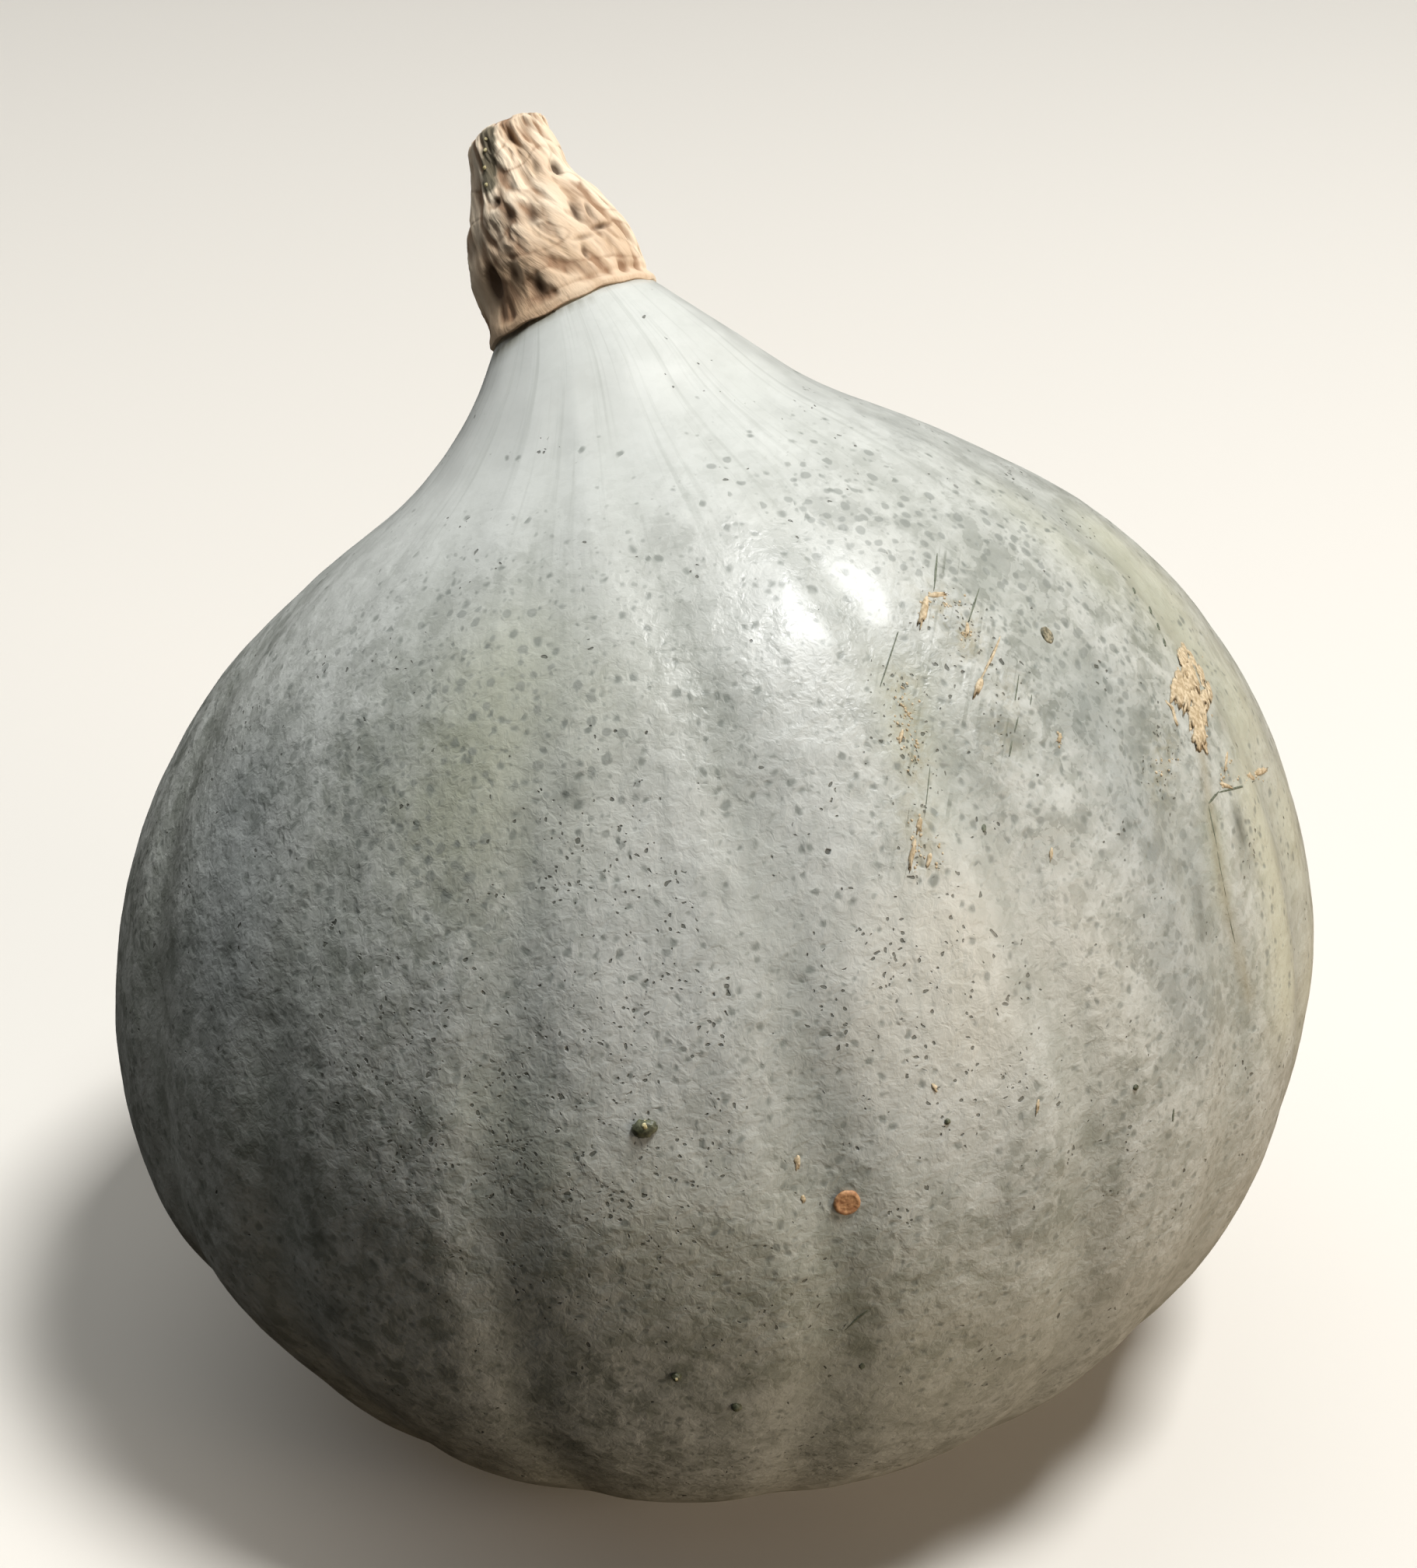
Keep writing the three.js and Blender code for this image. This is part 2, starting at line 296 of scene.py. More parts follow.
# %% Strokes on the front and round the back
FRONT_STROKES = {
    "olive": [
        ([(646, 870), (630, 960), (600, 1040)], 13, 1),
        ([(760, 900), (740, 1060)], 9, 0.6),
        ([(694, 1496), (644, 1431)], 8, 0.6),
        ([(1160, 890), (1170, 960)], 5, 0.8),
        ([(1180, 1000), (1190, 1060)], 5, 0.4),
        ([(1560, 1060), (1570, 1150)], 3, 0.6),
        ([(900, 1600), (1200, 1750)], 22, 0.35),
    ],
    "blue": [
        ([(300, 1060), (290, 1240)], 15, 1),
        ([(1010, 780), (1010, 1160), (1040, 1420)], 10, 0.6),
        ([(1410, 900), (1500, 1130), (1530, 1300)], 8, 0.8),
        ([(1525, 1100), (1546, 1215)], 4, 0.8),
        ([(640, 1300), (650, 1500)], 10, 0.4),
    ],
    "yellow": [
        ([(1430, 700), (1540, 850)], 9, 1),
        ([(1590, 930), (1640, 1130), (1655, 1280)], 8, 1),
        ([(1300, 640), (1420, 740)], 6, 0.5),
    ],
    # beige patches: partly the skin's own beige tone, partly a painted reflection of the warm window on
    # the front
    "beige_and_painted_reflection": [
        ([(1215, 1190), (1240, 1330)], 9, 0.9),
        ([(1150, 1200), (1140, 1350)], 8, 0.6),
        ([(1390, 1250), (1440, 1340)], 9, 0.4),
        ([(820, 1560), (860, 1600)], 9, 0.4),
    ],
    # the pale waxy bloom, laid on strongly in the middle as a painted sheen
    "bloom_and_painted_sheen": [
        ([(830, 1080), (850, 1300)], 22, 0.9),
        ([(960, 1100), (1080, 1250)], 20, 0.9),
        ([(1000, 850), (1090, 1000)], 16, 0.6),
        ([(1080, 1300), (1200, 1380)], 16, 0.8),
    ],
    "dots": [
        ([(620, 700), (520, 900), (420, 1000), (350, 1150)], 16, 1),
        ([(760, 760), (640, 1000), (600, 1250)], 18, 0.85),
        ([(940, 860), (1000, 1000)], 12, 0.8),
        ([(300, 1200), (420, 1400), (640, 1500)], 20, 0.8),
        ([(860, 1320), (1040, 1340), (1060, 1440)], 12, 0.9),
        ([(1400, 1100), (1480, 1350), (1500, 1450)], 14, 0.9),
        ([(1240, 850), (1400, 1050)], 20, 0.9),
        ([(1060, 800), (1100, 1000)], 16, 0.8),
        ([(900, 600), (1000, 700)], 12, 0.6),
        ([(600, 1650), (900, 1700), (1250, 1650)], 24, 0.45),
    ],
    # a painted shadow along the foot of the stem, where it overhangs the neck
    "painted_shadow_under_stem": [
        ([(640, 452), (655, 440), (676, 418), (706, 402)], 1.5, 1),
        ([(720, 398), (760, 386)], 0.8, 0.6),
    ],
    "stones": [
        ([(1050, 645), (1150, 670), (1290, 735)], 8, 1.2),
        ([(1290, 735), (1373, 800), (1415, 867), (1460, 945)], 7, 1.2),
        ([(1460, 945), (1510, 1100), (1545, 1230), (1545, 1345)], 7, 0.9),
        ([(380, 880), (330, 1000)], 9, 0.55),
        ([(640, 840), (720, 1000)], 9, 0.6),
        ([(480, 1100), (620, 1200)], 16, 0.4),
    ],
    "pits": [
        ([(700, 1120), (760, 1120)], 8, 1),
        ([(640, 1360), (760, 1380)], 12, 1),
        ([(860, 1290), (900, 1400)], 8, 0.8),
        ([(1110, 1220), (1130, 1330)], 8, 0.8),
        ([(560, 1480), (800, 1520)], 14, 0.9),
        ([(480, 1330), (520, 1420)], 9, 0.7),
        ([(1230, 1240), (1260, 1420)], 10, 0.6),
        ([(760, 1600), (920, 1650)], 14, 0.5),
    ],
    "scratched": [
        ([(1215, 720), (1190, 820)], 4, 1),
        ([(1260, 760), (1230, 900)], 5, 0.8),
        ([(1160, 880), (1175, 960)], 4, 1),
        ([(1310, 870), (1290, 950)], 5, 0.7),
        ([(1200, 1040), (1175, 1110)], 4, 0.9),
    ],
    "rubbed": [
        ([(1205, 775), (1235, 790), (1245, 825)], 3, 0.9),
        ([(1158, 880), (1165, 925), (1178, 985)], 2.6, 1),
        ([(1178, 1045), (1190, 1110)], 2.4, 0.8),
        ([(1500, 960), (1490, 1010)], 3, 0.6),
        ([(1300, 880), (1290, 960)], 3, 0.4),
    ],
    "seam": [([(1544, 958), (1556, 1040), (1574, 1153), (1590, 1220), (1607, 1283)], 1.3, 0.7)],
    "smudge": [
        ([(478, 1580)], 2.2, 0.8), ([(411, 1591)], 2, 0.8), ([(432, 1687)], 2.2, 0.7),
        ([(732, 1019)], 1.6, 0.7), ([(296, 1218)], 1.6, 0.8), ([(1295, 1565)], 3, 0.5),
        ([(1591, 1052), (1597, 1076)], 1.6, 1.2), ([(1601, 1090), (1609, 1112)], 1.6, 0.6),
        ([(932, 1143)], 1, 0.6), ([(1039, 1869)], 1.4, 0.7), ([(1540, 1140), (1546, 1200)], 1.6, 0.4),
        ([(436, 1430)], 2.4, 0.5),
    ],
}  # fmt: skip
BACK_STROKES = {
    "olive": [([(150, 8), (160, 6)], 26, 0.8), ([(215, 7), (235, 6)], 24, 0.7)],
    "blue": [([(110, 6), (118, 8)], 20, 0.7), ([(190, 6.5), (200, 9)], 18, 0.7)],
    "yellow": [([(78, 6), (76, 8.5)], 14, 0.9), ([(172, 5), (178, 7)], 16, 0.7)],
    "stones": [
        ([(96, 5), (95, 9.5)], 8, 0.9), ([(140, 8), (200, 9.5), (250, 9)], 9, 0.8),
        ([(220, 5), (222, 8)], 12, 0.6), ([(-75, 6), (-80, 8)], 12, 0.6),
    ],
    "beige_and_painted_reflection": [([(105, 5), (112, 6)], 14, 0.6), ([(245, 5.5), (250, 6.5)], 12, 0.6)],
    "dots": [
        ([(100, 7), (140, 8), (180, 8)], 26, 0.8), ([(200, 6), (240, 7), (285, 7)], 26, 0.8),
        ([(120, 4.5), (200, 4.5), (270, 4.5)], 22, 0.5),
    ],
    "pits": [([(130, 6), (160, 5)], 18, 0.8), ([(240, 6), (280, 6)], 18, 0.8)],
    "smudge": [([(170, 7.4)], 2.4, 0.7), ([(216, 6)], 2, 0.7)],
}  # fmt: skip


def paint(strokes, find, step):
    """How much of a zone each point of the skin gets, from strokes and the function that finds
    where a stroke's point lies on the skin."""
    amount = np.zeros(len(points))
    for line, reach, strength in strokes:
        dabs = [find(*line[0])[0]]
        for start, end in zip(line, line[1:]):
            count = max(1, round(math.dist(start, end) / step))
            for n in range(1, count + 1):
                between = [a + (b - a) * n / count for a, b in zip(start, end)]
                dabs.append(find(*between)[0])
        away = np.min([np.linalg.norm(points - dab, axis=1) for dab in dabs], axis=0)
        amount = np.maximum(amount, strength * np.exp(-((away / reach) ** 2)))
    return amount


zones = {}
for zone, strokes in FRONT_STROKES.items():
    zones[zone] = paint(strokes, skin_at, 12)
    zones[zone] = np.maximum(zones[zone], paint(BACK_STROKES.get(zone, []), skin_round, 1))
zones["groove"] = groove_share(crooked, place, 3.4)
zones["groove"] *= smooth(place, 2, 4) * (1 - 0.8 * smooth(place, 8, 12))
zones["neck"] = smooth(place, 8.4, 11.5)
zones["foot"] = 1 - smooth(place, 2.5, 5)
print({zone: round(float(amount.mean()), 3) for zone, amount in zones.items()})

# %% Store the zones on the mesh
def finish_mesh(shape, name):
    """Turns a shape in millimetres into an object in metres that rides on the squash."""
    bmesh.ops.recalc_face_normals(shape, faces=shape.faces)
    bmesh.ops.scale(shape, vec=(MM, MM, MM), verts=shape.verts)
    mesh = bpy.data.meshes.new(name)
    shape.to_mesh(mesh)
    mesh.shade_smooth()
    piece = bpy.data.objects.new(name, mesh)
    bpy.context.collection.objects.link(piece)
    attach(piece, "root")
    print(name, len(mesh.polygons), "faces")
    return piece


def store(piece, name, values):
    """Keeps a number, or a row of three, for each point of a piece, for its material to read."""
    kind = "FLOAT" if values.ndim == 1 else "FLOAT_VECTOR"
    attribute = piece.data.attributes.new(name, kind, "POINT")
    attribute.data.foreach_set("value" if values.ndim == 1 else "vector", values.ravel())


fruit_skin = finish_mesh(skin_mesh, "fruit_skin")
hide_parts("fruit")
for zone, amount in zones.items():
    store(fruit_skin, zone, amount)
straight = np.stack([HALF_WIDTH * np.sin(turn), -HALF_WIDTH * np.cos(turn), length], 1) * MM
store(fruit_skin, "straight", straight)

# %% [markdown]
# ## The stem
#
# The stem of a kabocha dries to cork: a knobbly stub, wide where it grips the fruit and cut off
# at the top. It is furrowed along its length, and the furrows wind a little. It could be
# sculpted by hand, but ridges, furrows and pits are easy to say as heights round a tube, so the
# same kind of ball is bent over the stem's own sections, and the heights are added up in layers.

# %% The stem's sections and its broad relief
# height above the ring, radius and right, in millimetres along the leaning stem
STEM_SECTIONS = np.array([
    (0, 13.4, -0.4), (4, 12.9, -0.1), (9, 12.8, -0.3), (13, 11.8, -0.3), (17, 10.6, -0.6),
    (20.5, 8.6, -0.8), (24.5, 7.5, -0.4), (28, 6.7, -0.3), (30.5, 6.1, 0), (32, 5.3, 0.7),
])  # fmt: skip
STEM_GAP, STEM_TWIST, STEM_DENT = 0.3, math.radians(35), 0.6
CREST_RISE = 0.15  # the carving takes this much off again on average
FURROW_DEPTH, CRACK_DEPTH, FINE_DEPTH, CREASE_DEPTH = 0.4, 0.26, 0.12, 0.08
LIP_HEIGHT = 0.3  # the rim that the foot has on the right
ROUNDED_END = 0.8
STEM_AROUND, STEM_RINGS = 320, 220
FOOT_RINGS, CUT_RINGS = 6, 14  # rings that close the foot and the cut end

stem_mesh, stem_turn, stem_ring = ball(STEM_AROUND, STEM_RINGS)
side_rings = STEM_RINGS - FOOT_RINGS - CUT_RINGS
share = np.clip((stem_ring - FOOT_RINGS) / side_rings, 0, 1)
wound = stem_turn + STEM_TWIST * share
broad = (
    0.75 * np.cos(5 * wound + 0.6)  # five ridges that wind
    + 0.4 * np.cos(11 * wound + 2.5 * np.sin(7 * share))  # narrower ones that sway
    + 0.35 * np.sin(3 * stem_turn + 9 * share) * np.sin(14 * share)  # knots
)
broad *= smooth(share, 0, 0.12) * (1 - 0.5 * smooth(share, 0.8, 1))
print("stem length", STEM_SECTIONS[-1, 0], "mm, broad relief up to", broad.max().round(2))

# %% Corky plates, furrows and the cut end
def on_tube(turn, height, across, along, seed):
    """Smooth noise round a tube, with patches of about one width and one length."""
    size = 12 / across
    return np.array([
        noise.noise(Vector((size * math.sin(t), size * math.cos(t), h / along + seed)))
        for t, h in zip(turn, height)
    ])


height, radius, right_way = through(STEM_SECTIONS, share * (len(STEM_SECTIONS) - 1)).T
slant = stem_turn + 0.03 * height + 0.12 * on_tube(stem_turn, height, 9, 9, 7)
furrows = smooth(on_tube(slant, height, 2.8, 6, 11), 0.02, 0.5)
cracks = smooth(on_tube(slant, height, 1.5, 4, 23), 0.1, 0.5)
fine = smooth(on_tube(wound, height, 0.8, 2, 37), 0, 0.5)
creases = np.maximum(0, 1 - 5 * np.abs(on_tube(stem_turn, height, 9, 4, 51))) ** 2
carved = FURROW_DEPTH * furrows + CRACK_DEPTH * cracks + FINE_DEPTH * fine + CREASE_DEPTH * creases
side = smooth(share, 0.02, 0.06)
lip = np.exp(-(((share - 0.02) / 0.016) ** 2)) - np.exp(-(((share - 0.06) / 0.016) ** 2))
lip *= smooth(np.sin(stem_turn + 0.2), -0.2, 0.6)
stem_relief = 0.5 * broad + CREST_RISE - side * carved + LIP_HEIGHT * lip
closing = np.where(stem_ring < FOOT_RINGS, stem_ring / FOOT_RINGS, 1)
cut = np.clip((stem_ring - (STEM_RINGS - CUT_RINGS)) / CUT_RINGS, 0, 1)
reach = np.where(cut > 0, (radius + stem_relief) * (1 - cut), (radius + stem_relief) * closing)
rough_cut = smooth(cut, 0, 0.15) * (0.8 * furrows - 0.3)
rise = height - ROUNDED_END * smooth(share, 0.86, 1) - STEM_DENT * smooth(cut, 0.1, 0.9) - rough_cut
print("carved", carved.min().round(2), carved.max().round(2))

# %% The foot of the stem droops over the neck
# On its left the foot of the cork reaches lower down the neck than the ring does.
DROOP, DROOP_TURN, DROOP_WIDTH = 1.2, -40, 50
off_droop = (np.degrees(stem_turn) - DROOP_TURN + 180) % 360 - 180
droop = np.exp(-((off_droop / DROOP_WIDTH) ** 2)) * (1 - smooth(share, 0, 0.22))
ragged = 0.3 * np.sin(9 * stem_turn + 1) * np.sin(4 * stem_turn) * (1 - smooth(share, 0, 0.08))
rise = rise - (DROOP * droop + ragged + 0.3) * closing
reach = reach + (0.1 + DROOP * droop) * closing
right, back, up = (axis[0] for axis in section_axes(np.array([float(LAST)])))
ring_middle = np.array([SECTIONS[-1, 2], SECTIONS[-1, 3], SECTIONS[-1, 0]])
out = np.sin(stem_turn)[:, None] * right - np.cos(stem_turn)[:, None] * back
stem_points = (
    ring_middle + (rise + STEM_GAP)[:, None] * up + right_way[:, None] * right + reach[:, None] * out
)
for vertex, point in zip(stem_mesh.verts, stem_points):
    vertex.co = point
stem_tree = BVHTree.FromBMesh(stem_mesh)
print("stem box", stem_points.min(0).round(1), stem_points.max(0).round(1))

# %% Pits and hollows in the cork
def stem_at(x, y):
    """The point and the outward direction of the stem that the photograph shows at a pixel."""
    spot, normal, _, _ = stem_tree.ray_cast(eye, pixel_ray(x, y))
    if spot is None:
        raise ValueError(f"pixel {x}, {y} misses the stem")
    return spot, normal


# pixel, half-width along and across in millimetres, and depth
STEM_PITS = [
    ((636, 261), 1.0, 0.8, 1.1),
    ((717, 216), 1.7, 0.7, 1.2),
    ((631, 364), 2.9, 1.5, 1.7),
    ((660, 352), 1.8, 1.1, 0.7),
    ((692, 366), 2.2, 1.3, 0.8),
    ((740, 268), 3.0, 0.7, 0.9),
    ((757, 268), 1.9, 0.4, 0.7),
    ((775, 290), 0.5, 1.7, 0.8),
    ((750, 305), 0.5, 2.0, 0.5),
    ((752, 324), 1.6, 0.5, 0.7),
    ((653, 280), 2.0, 0.9, 0.7),
    ((684, 280), 2.4, 0.9, 0.7),
    ((658, 240), 1.8, 0.8, 0.6),
    ((656, 178), 1.4, 0.9, 0.6),
    ((689, 215), 1.6, 0.6, 0.5),
    ((686, 150), 1.8, 0.5, 0.5),
    ((628, 192), 4.5, 1.1, 0.4),
    ((607, 320), 1.8, 0.7, 0.5),
]
STEM_STAIN = [(625, 168), (627, 180), (627, 194), (628, 208), (628, 222), (628, 236)]
STAIN_REACH = 1.5
hollow = np.zeros(len(stem_points))
for (x, y), along, across, depth in STEM_PITS:
    offset = stem_points - np.array(stem_at(x, y)[0])
    up_away = offset @ up / along
    side_away = np.linalg.norm(offset - np.outer(offset @ up, up), axis=1) / across
    amount = np.exp(-(up_away**2 + side_away**2))
    hollow = np.maximum(hollow, depth * amount)
stain = np.zeros(len(stem_points))
for spot in STEM_STAIN:
    away = np.linalg.norm(stem_points - np.array(stem_at(*spot)[0]), axis=1)
    stain = np.maximum(stain, np.exp(-((away / STAIN_REACH) ** 4)))
stem_points -= hollow[:, None] * out
for vertex, point in zip(stem_mesh.verts, stem_points):
    vertex.co = point
stem_tree = BVHTree.FromBMesh(stem_mesh)
stem_cork = finish_mesh(stem_mesh, "stem_cork")
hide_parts("stem")
store(stem_cork, "carved", side * (0.9 * furrows + 0.5 * cracks + 0.25 * fine + 0.5 * creases))
store(stem_cork, "hollow", hollow)
store(stem_cork, "stain", stain)
# painted shade: the lower left of the stem's foot, away from the lamps, is made browner
store(stem_cork, "painted_shade_low_left", np.exp(-((off_droop / 60) ** 2)) * (1 - smooth(share, 0.15, 0.45)))
grain = np.stack([12 * np.sin(slant), 12 * np.cos(slant), height], 1) * MM
store(stem_cork, "grain", grain)
print("deepest pit", hollow.max().round(2), "mm")

# %% [markdown]
# ## Scars, warts and flakes
#
# Where a leaf or a fingernail rubbed the young fruit, the skin healed with beige cork that now
# flakes off. There are also a few round warts and a round scab the colour of copper. Painting
# them would leave them flat. Each is a small closed bead instead: a ball stretched along a short
# line of pixels and pressed onto the skin, with its lower half sunk in and its edge left ragged.

# %% One bead along a line on the skin
def bead(shape, line, wide, high, find=skin_at, around=12, rings=8, ragged=0.25, tip=0.5, seed=0):
    """Adds a closed bead to a shape: its ridge follows a line of places on the skin. tip is how
    far its ends reach past the line, as a share of its width."""
    spots = [find(*spot) for spot in line]
    core = [Vector(point) for point, _ in spots]
    normals = [normal for _, normal in spots]
    if len(core) == 1:
        core, normals = [core[0], core[0]], normals * 2
    heading = core[-1] - core[0]
    if heading.length < 0.01:
        heading = Vector((0, 0, 1)) - normals[0] * normals[0].z
    heading.normalize()
    span = (core[-1] - core[0]).length
    made = bmesh.ops.create_uvsphere(shape, u_segments=around, v_segments=rings, radius=1)["verts"]
    for vertex in made:
        x, y, z = vertex.co
        wobble = 1 + ragged * noise.noise(Vector((2.1 * x + seed, 2.1 * y, 2.1 * z + 5 * seed)))
        along = (z * (span / 2 + tip * wide) + span / 2) * wobble
        share = min(max(along / span, 0), 1) * (len(core) - 1) if span else 0
        index = min(int(share), len(core) - 2)
        base = core[index].lerp(core[index + 1], share - index)
        extra = along - min(max(along, 0), span)
        normal = normals[index].lerp(normals[index + 1], share - index).normalized()
        sideways = normal.cross(heading).normalized()
        vertex.co = base + heading * extra + sideways * (y * wide / 2 * wobble) + normal * (x * high)


def beads_piece(name, slot, rows, **settings):
    """One piece of many beads, from rows of (line, width, height)."""
    shape = bmesh.new()
    for number, (line, wide, high) in enumerate(rows):
        bead(shape, line, wide, high, seed=number + 1, **settings)
    return finish_mesh(shape, name)


CORK_FLAKES = [
    ([(1500, 903), (1507, 910), (1511, 928)], 0.8, 0.25),
    ([(1578, 968), (1575, 988)], 0.6, 0.2),
    ([(1570, 1008), (1582, 1012)], 0.7, 0.2),
    ([(1604, 997), (1612, 1000)], 0.9, 0.25),
    ([(1614, 994), (1628, 989)], 1.0, 0.25),
    ([(1191, 770), (1187, 792), (1184, 800)], 1.1, 0.35),
    ([(1196, 766), (1212, 764)], 0.8, 0.3),
    ([(1286, 819), (1274, 848), (1262, 872)], 0.45, 0.2),
    ([(1261, 876), (1256, 888)], 1.1, 0.35),
    ([(1244, 803), (1243, 815)], 0.7, 0.25),
    ([(1176, 1082), (1170, 1112)], 0.8, 0.25),
    ([(1183, 1054), (1181, 1066)], 0.8, 0.25),
    ([(1196, 1100), (1193, 1112)], 0.7, 0.2),
    ([(1160, 940), (1157, 952)], 0.6, 0.2),
    ([(1363, 945), (1362, 952)], 0.7, 0.2),
    ([(1352, 1092), (1351, 1104)], 0.6, 0.2),
    ([(1025, 1489), (1025, 1498)], 0.9, 0.25),
    ([(1200, 1396), (1203, 1401)], 0.7, 0.25),
    ([(1032, 1540), (1033, 1543)], 0.7, 0.2),
    ([(1335, 1416), (1333, 1428)], 0.6, 0.2),
]
# the flaking patch on the right: a row of pixels, its left end and its right end
CORK_PATCH = [
    (836, 1519, 1525), (846, 1516, 1532), (857, 1515, 1540), (868, 1513, 1547), (879, 1511, 1553),
    (890, 1508, 1558), (900, 1520, 1558), (911, 1531, 1547), (922, 1531, 1545), (934, 1534, 1546),
    (946, 1538, 1547),
]  # fmt: skip
random.seed(7)
for y, left, right in CORK_PATCH:
    for _ in range(2 + (right - left) // 9):
        x, long = random.uniform(left + 2, right - 2), random.uniform(10, 22)
        chip = [(x, y - long / 2), (x + random.uniform(-3, 6), y + long / 2)]
        CORK_FLAKES.append((chip, random.uniform(1.4, 2.6), random.uniform(0.25, 0.4)))
cork_flakes = beads_piece("cork_flakes", "cork", CORK_FLAKES, ragged=0.7, around=12, rings=10)

# %% Crumbs of cork round the flakes
# middle pixel, spread in pixels and how many
CRUMB_FIELDS = [
    ((1530, 880), (22, 34), 34),
    ((1541, 935), (12, 30), 16),
    ((1573, 995), (9, 22), 14),
    ((1595, 1003), (24, 7), 12),
    ((1192, 775), (14, 14), 12),
    ((1222, 775), (24, 10), 12),
    ((1242, 812), (8, 20), 12),
    ((1163, 925), (14, 46), 44),
    ((1176, 965), (8, 20), 12),
    ((1180, 1078), (12, 34), 26),
    ((1206, 1100), (10, 20), 8),
    ((1360, 950), (8, 14), 5),
    ((1495, 985), (16, 26), 12),
]
random.seed(41)
crumb_rows = []
for (x, y), (wide, tall), count in CRUMB_FIELDS:
    for _ in range(count):
        spot = (x + random.gauss(0, wide / 2), y + random.gauss(0, tall / 2))
        size = random.uniform(0.18, 0.5)
        crumb_rows.append(([spot], size, size * random.uniform(0.3, 0.5)))
cork_crumbs = beads_piece("cork_crumbs", "cork", crumb_rows, ragged=0.5, around=6, rings=4)

# %% Warts, scabs and dark ticks
WARTS = [
    ([(824, 1452), (833, 1450)], 2.6, 1.0),
    ([(870, 1769)], 1.5, 0.9),
    ([(947, 1808)], 1.5, 0.8),
    ([(1218, 1442)], 0.9, 0.4),
    ([(1460, 1398)], 0.9, 0.4),
]
skin_warts = beads_piece("skin_warts", "skin", WARTS, ragged=0.3, around=20, rings=14)
wart_tips = beads_piece(
    "wart_tips", "cork", [([(830, 1446)], 1.3, 1.15), ([(870, 1768)], 0.8, 1.05)], ragged=0.4
)
DARK_TICKS = [
    ([(1205, 712), (1203, 735), (1201, 757)], 0.4, 0.08),
    ([(1259, 757), (1252, 778), (1246, 798)], 0.4, 0.08),
    ([(1172, 762), (1155, 812), (1138, 864), (1122, 912)], 0.22, 0.05),
    ([(1310, 868), (1305, 902)], 0.3, 0.06),
    ([(1329, 873), (1325, 906)], 0.3, 0.06),
    ([(1309, 923), (1305, 940)], 0.3, 0.06),
    ([(1301, 953), (1298, 972)], 0.3, 0.06),
    ([(1176, 975), (1168, 1048)], 0.25, 0.05),
    ([(1196, 985), (1190, 1040)], 0.22, 0.05),
    ([(1116, 1685), (1103, 1695), (1091, 1707)], 0.5, 0.06),
    ([(1509, 1427), (1508, 1440)], 0.5, 0.08),
    ([(1458, 757), (1459, 762)], 0.8, 0.08),
    ([(1479, 782), (1480, 788)], 0.9, 0.08),
    ([(1489, 803), (1490, 808)], 0.8, 0.08),
    ([(1497, 823), (1498, 829)], 0.8, 0.08),
    ([(1109, 1755), (1109, 1758)], 0.9, 0.1),
    ([(1265, 1063), (1265, 1066)], 0.8, 0.08),
    ([(1555, 1032), (1566, 1019)], 0.55, 0.08),
    ([(1566, 1019), (1583, 1015), (1598, 1011), (1610, 1005)], 0.4, 0.08),
    ([(1554, 1036), (1559, 1060), (1564, 1084)], 0.3, 0.05),
    ([(1565, 1094), (1570, 1120), (1575, 1146)], 0.22, 0.04),
    ([(1577, 1164), (1583, 1190), (1588, 1212)], 0.2, 0.04),
]
dark_ticks = beads_piece("dark_ticks", "skin", DARK_TICKS, ragged=0.3, around=8, rings=10)

# %% Painted glints: pale dots on the stem's dark stain
STEM_PAINTED_GLINTS = [([spot], 0.7, 0.25) for spot in ((625, 179), (624, 193), (623, 216), (625, 238))]
stem_painted_glints = beads_piece("stem_painted_glints", "cork", STEM_PAINTED_GLINTS, find=stem_at, ragged=0.4)

# %% The round scab and the oval one
def disc_scab(name, x, y, wide, tall, high, rim):
    """A flat round scab with a raised rim: a ball pressed flat and dished."""
    middle, normal = skin_at(x, y)
    upright = (Vector((0, 0, 1)) - normal * normal.z).normalized()
    sideways = upright.cross(normal).normalized()
    shape = bmesh.new()
    bmesh.ops.create_uvsphere(shape, u_segments=40, v_segments=32, radius=1)
    away = []
    for vertex in shape.verts:
        a, b, c = vertex.co
        flat = math.hypot(a, b)
        ragged = 1 + 0.06 * noise.noise(Vector((3 * a, 3 * b, 7)))
        lift = high * c**0.5 if c > 0 else high * c
        if c > 0:
            lift *= 1 - rim * (1 - smooth(flat, 0.55, 0.85))
            lift += 0.12 * high * noise.noise(Vector((4 * a, 4 * b, 3)))
        vertex.co = middle + sideways * (a * wide / 2 * ragged) + upright * (b * tall / 2 * ragged)
        vertex.co += normal * lift
        away.append(flat)
    piece = finish_mesh(shape, name)
    store(piece, "from_middle", np.array(away))
    return piece


round_scab = disc_scab("round_scab", 1089, 1546, 3.9, 3.9, 0.55, 0.35)
oval_scab = disc_scab("oval_scab", 1346, 817, 2.0, 2.7, 0.45, 0.4)

# %% [markdown]
# ## The scar of the blossom
#
# Underneath, where the flower fell off, a squash keeps a small round scar of cork in the middle
# of its dimple. The photograph hides it, so this is what such a fruit usually has.

# %% The blossom scar
BLOSSOM_SCAR = [([(0, 0.12), (180, 0.12)], 9, 0.7), ([(90, 0.3)], 3, 0.6), ([(215, 0.28)], 2.6, 0.5)]
blossom_scar = beads_piece(
    "blossom_scar", "cork", BLOSSOM_SCAR, find=skin_round, ragged=0.5, around=32, rings=20
)

# %% [markdown]
# ## Tools for the finishes
#
# A colour picked from a picture is an sRGB number, and a shader adds up light, so each colour is
# turned into linear numbers once. A material is then a small tree of nodes. One function adds a
# node of any kind, with its settings and its links, and hands back the output that is wanted.

